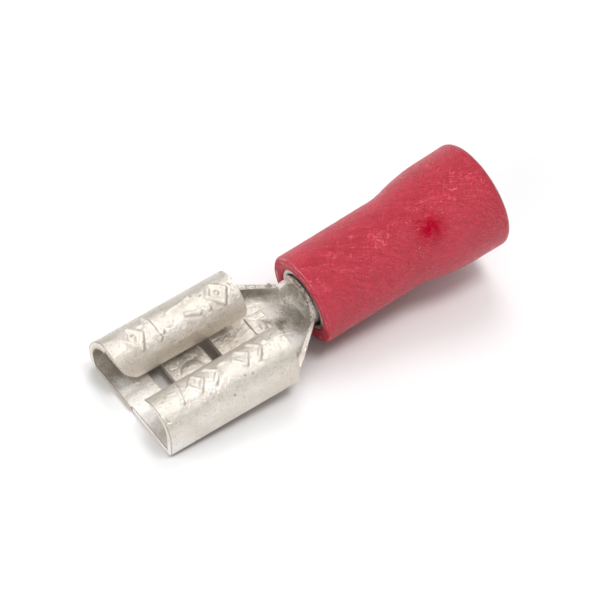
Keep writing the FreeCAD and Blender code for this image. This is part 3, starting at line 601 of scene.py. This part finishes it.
def shut_strip(name, sections, material):
    # A strip from a row of sections, each a closed loop of the same number of points, shut at both ends
    count = len(sections[0])
    points = [point for section in sections for point in section]
    faces = grid_faces(len(sections), count, True)
    faces.append(tuple(range(count - 1, -1, -1)))
    last = (len(sections) - 1) * count
    faces.append(tuple(last + index for index in range(count)))
    strip = add_mesh(name, points, faces, material, False)
    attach(strip, "root")


def along_row(table, value):
    # Reads between the rows of a table of (value, result) pairs
    for (first, low), (second, high) in zip(table, table[1:]):
        if value <= second:
            return low + (high - low) * (value - first) / (second - first)
    return table[-1][1]


def ragged_edge():
    # The burr's middle radius and its outward spread, by angle round the barrel
    middle = ((22, 1.38), (40, 1.49), (52, 1.55), (75, 1.51), (100, 1.48), (130, 1.44), (146, 1.37))
    middle = middle + ((170, 1.26), (194, 1.22))
    spread = ((22, 0.0), (50, 0.04), (68, 0.16), (112, 0.17), (138, 0.05), (194, 0.02))
    first, last = middle[0][0], middle[-1][0]
    bell_side, barrel_side, bore_side, root = 1.57, 1.37, 1.22, 0.10
    sections = []
    for step in range(221):
        angle = first + (last - first) * step / 220
        rough = noise.noise(Vector((angle * 0.19, 1.7, 0)))
        rough = rough + 0.9 * noise.noise(Vector((angle * 0.55, 4.1, 2)))
        reach = 0.09 + 0.20 * max(rough, -0.45)
        radius = along_row(middle, angle) + 0.09 * noise.noise(Vector((angle * 0.30, 8, 1)))
        thick = 0.062 + 0.07 * noise.noise(Vector((angle * 0.42, 3, 5)))
        out = along_row(spread, angle) * (1 + 1.2 * noise.noise(Vector((angle * 0.33, 2, 9))))
        sections.append([
            on_axis(-0.08 - reach * 0.75, radius - thick, angle),
            on_axis(-0.09 - reach, radius + out, angle),
            on_axis(-0.08 - reach * 0.7, radius + thick, angle),
            on_axis(0.0, min(radius + thick, bell_side), angle),
            on_axis(root, barrel_side, angle),
            on_axis(root, bore_side, angle),
            on_axis(-0.05, min(radius - thick, 1.20), angle),
        ])
    shut_strip("barrel_burr", sections, cut_tin.material)


def slab(name, rows, material, thick=0.16, columns=9):
    # A ragged plate between two rows of (s, radius, angle) places on the barrel's round
    sections = []
    for (s0, r0, a0), (s1, r1, a1) in rows:
        loop = []
        for side in (0.0, 1.0):
            for column in range(columns):
                share = column / (columns - 1)
                share = share if side == 0.0 else 1 - share
                s = s0 + (s1 - s0) * share
                r = r0 + (r1 - r0) * share
                a = a0 + (a1 - a0) * share
                rough = noise.noise(Vector((s * 7, a * 0.25, side + r * 3)))
                loop.append(on_axis(s + 0.03 * rough, r - thick * side + 0.02 * rough, a + 1.2 * rough))
        sections.append(loop)
    shut_strip(name, sections, material)


def between(first, last, steps):
    # Rows of places from one row to another
    rows = []
    for step in range(steps + 1):
        share = step / steps
        row = []
        for start, end in zip(first, last):
            row.append(tuple(start[index] + (end[index] - start[index]) * share for index in range(3)))
        rows.append(tuple(row))
    return rows


def cut_tab():
    # The bright torn tab at the barrel's front, between places given as (s, radius, angle)
    tip = ((-0.90, 1.46, 46.6), (-1.00, 1.46, 68.0))
    root = ((-0.26, 1.47, 39.5), (-0.42, 1.47, 63.5))
    lip = ((-0.06, 1.53, 48.0), (-0.10, 1.45, 72.0))
    slab("cut_tab", between(tip, root, 8), cut_tin.material)
    slab("tab_slope", between(root, lip, 6), contact_tin.material, 0.14)


def wall_spike():
    # A small spike on the top of the far trough wall
    base = [(9.92, 2.16, 0.97), (10.36, 1.80, 1.05), (10.22, 1.60, 1.02), (9.80, 1.94, 0.94)]
    neck = [(10.03, 1.99, 1.14), (10.20, 1.84, 1.17), (10.15, 1.76, 1.15), (9.98, 1.91, 1.13)]
    head = [(10.08, 1.93, 1.33), (10.16, 1.85, 1.34), (10.13, 1.80, 1.33), (10.06, 1.88, 1.32)]
    sections = [[rest(*corner) for corner in loop] for loop in (base, neck, head)]
    shut_strip("wall_spike", sections, contact_tin.material)


def floor_top(x):
    # Height of the trough floor's upper face, with the raised lip of the tab stop
    rise = 0.14 * max(1 - (x - 8.0) / 1.1, 0.0) if x >= 8.0 else 0.0
    fall = 0.21 * max(x - 9.0, 0.0)
    return 0.4 + rise - fall


def stop_burr():
    # Lumps of torn tin behind the tab stop, on a patch that lies just under the floor elsewhere
    rows, columns = 42, 60
    first_x, long_x, first_y, long_y = 8.10, 0.95, -0.45, 1.35
    burr_x, burr_y, half_x, half_y, height, sunk = 8.56, 0.24, 0.17, 0.36, 0.24, 0.03
    points = []
    for row in range(rows):
        x = first_x + long_x * row / (rows - 1)
        for column in range(columns):
            y = first_y + long_y * column / (columns - 1)
            off_x = (x - burr_x - 0.12 * (y - 0.2)) / half_x
            ridge = math.exp(-off_x ** 2 - ((y - burr_y) / half_y) ** 2)
            lumps = 0.55 + 0.9 * abs(noise.noise(Vector((x * 5.5, y * 5.5, 3))))
            lumps = lumps + 0.4 * noise.noise(Vector((x * 14, y * 14, 6)))
            points.append(rest(x, y, floor_top(x) - sunk + height * ridge * lumps))
    burr = add_mesh("stop_burr", points, grid_faces(rows, columns), contact_tin.material)
    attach(burr, "root")


ragged_edge()
cut_tab()
wall_spike()
stop_burr()


# Floor

bpy.ops.mesh.primitive_plane_add(size=1.2, location=(0, 0, 0))
floor = bpy.context.object
floor.name = "floor"
# Pale, with painted shade only where the terminal lies close over it
floor_white = Nodes("floor_white")
under = floor_white.tree.nodes.new("ShaderNodeAmbientOcclusion")
under.samples = 12
under.inputs["Distance"].default_value = 0.003
covered = floor_white.levels(under.outputs["AO"], 0.58, 0.28)
shaded = floor_white.blend(covered, (0.93, 0.93, 0.93), (0.60, 0.555, 0.54))
floor_white.link(shaded, floor_white.shader.inputs["Base Color"])
floor_white.shader.inputs["Roughness"].default_value = 0.7
floor.data.materials.append(floor_white.material)


# Light

world = bpy.data.worlds.new("studio")
scene.world = world
world.use_nodes = True
world.node_tree.nodes["Background"].inputs["Color"].default_value = (1, 1, 1, 1)
world.node_tree.nodes["Background"].inputs["Strength"].default_value = 0.20


def area(name, place, size, energy, target=(0, 0, 2 * MM)):
    # A round lamp: places and size in metres, energy in watts
    data = bpy.data.lights.new(name, "AREA")
    data.shape = "DISK"
    data.size = size
    data.energy = energy
    lamp = bpy.data.objects.new(name, data)
    scene.collection.objects.link(lamp)
    lamp.location = place
    direction = Vector(target) - Vector(place)
    lamp.rotation_euler = direction.to_track_quat("-Z", "Y").to_euler()


area("ceiling", (0.10, 0.14, 0.45), 0.70, 1.00)
area("over", (0.12, 0.20, 0.45), 0.20, 0.48)
area("top", (0.05, -0.10, 0.45), 0.14, 0.72)
area("front", (-0.36, -0.12, 0.20), 0.22, 0.58)
area("side", (0.0, -0.42, 0.13), 0.25, 0.26)
area("left", (-0.30, 0.20, 0.11), 0.14, 0.38, (-0.010, -0.002, 0.001))


# Camera, fitted to the outlines in the photograph

camera_data = bpy.data.cameras.new("camera")
camera = bpy.data.objects.new("camera", camera_data)
scene.collection.objects.link(camera)
camera_data.sensor_width = 36
camera_data.lens = 185.851
camera_data.clip_start = 0.01
camera_data.clip_end = 10
right = (0.808216, -0.580049, 0.101635)
up = (0.386901, 0.653146, 0.650929)
back = (-0.443953, -0.486769, 0.752304)
place = (-0.0740534, -0.0805207, 0.1271253)
camera.matrix_world = Matrix((
    (right[0], up[0], back[0], place[0]),
    (right[1], up[1], back[1], place[1]),
    (right[2], up[2], back[2], place[2]),
    (0, 0, 0, 1),
))
scene.camera = camera
scene.view_settings.view_transform = "Standard"
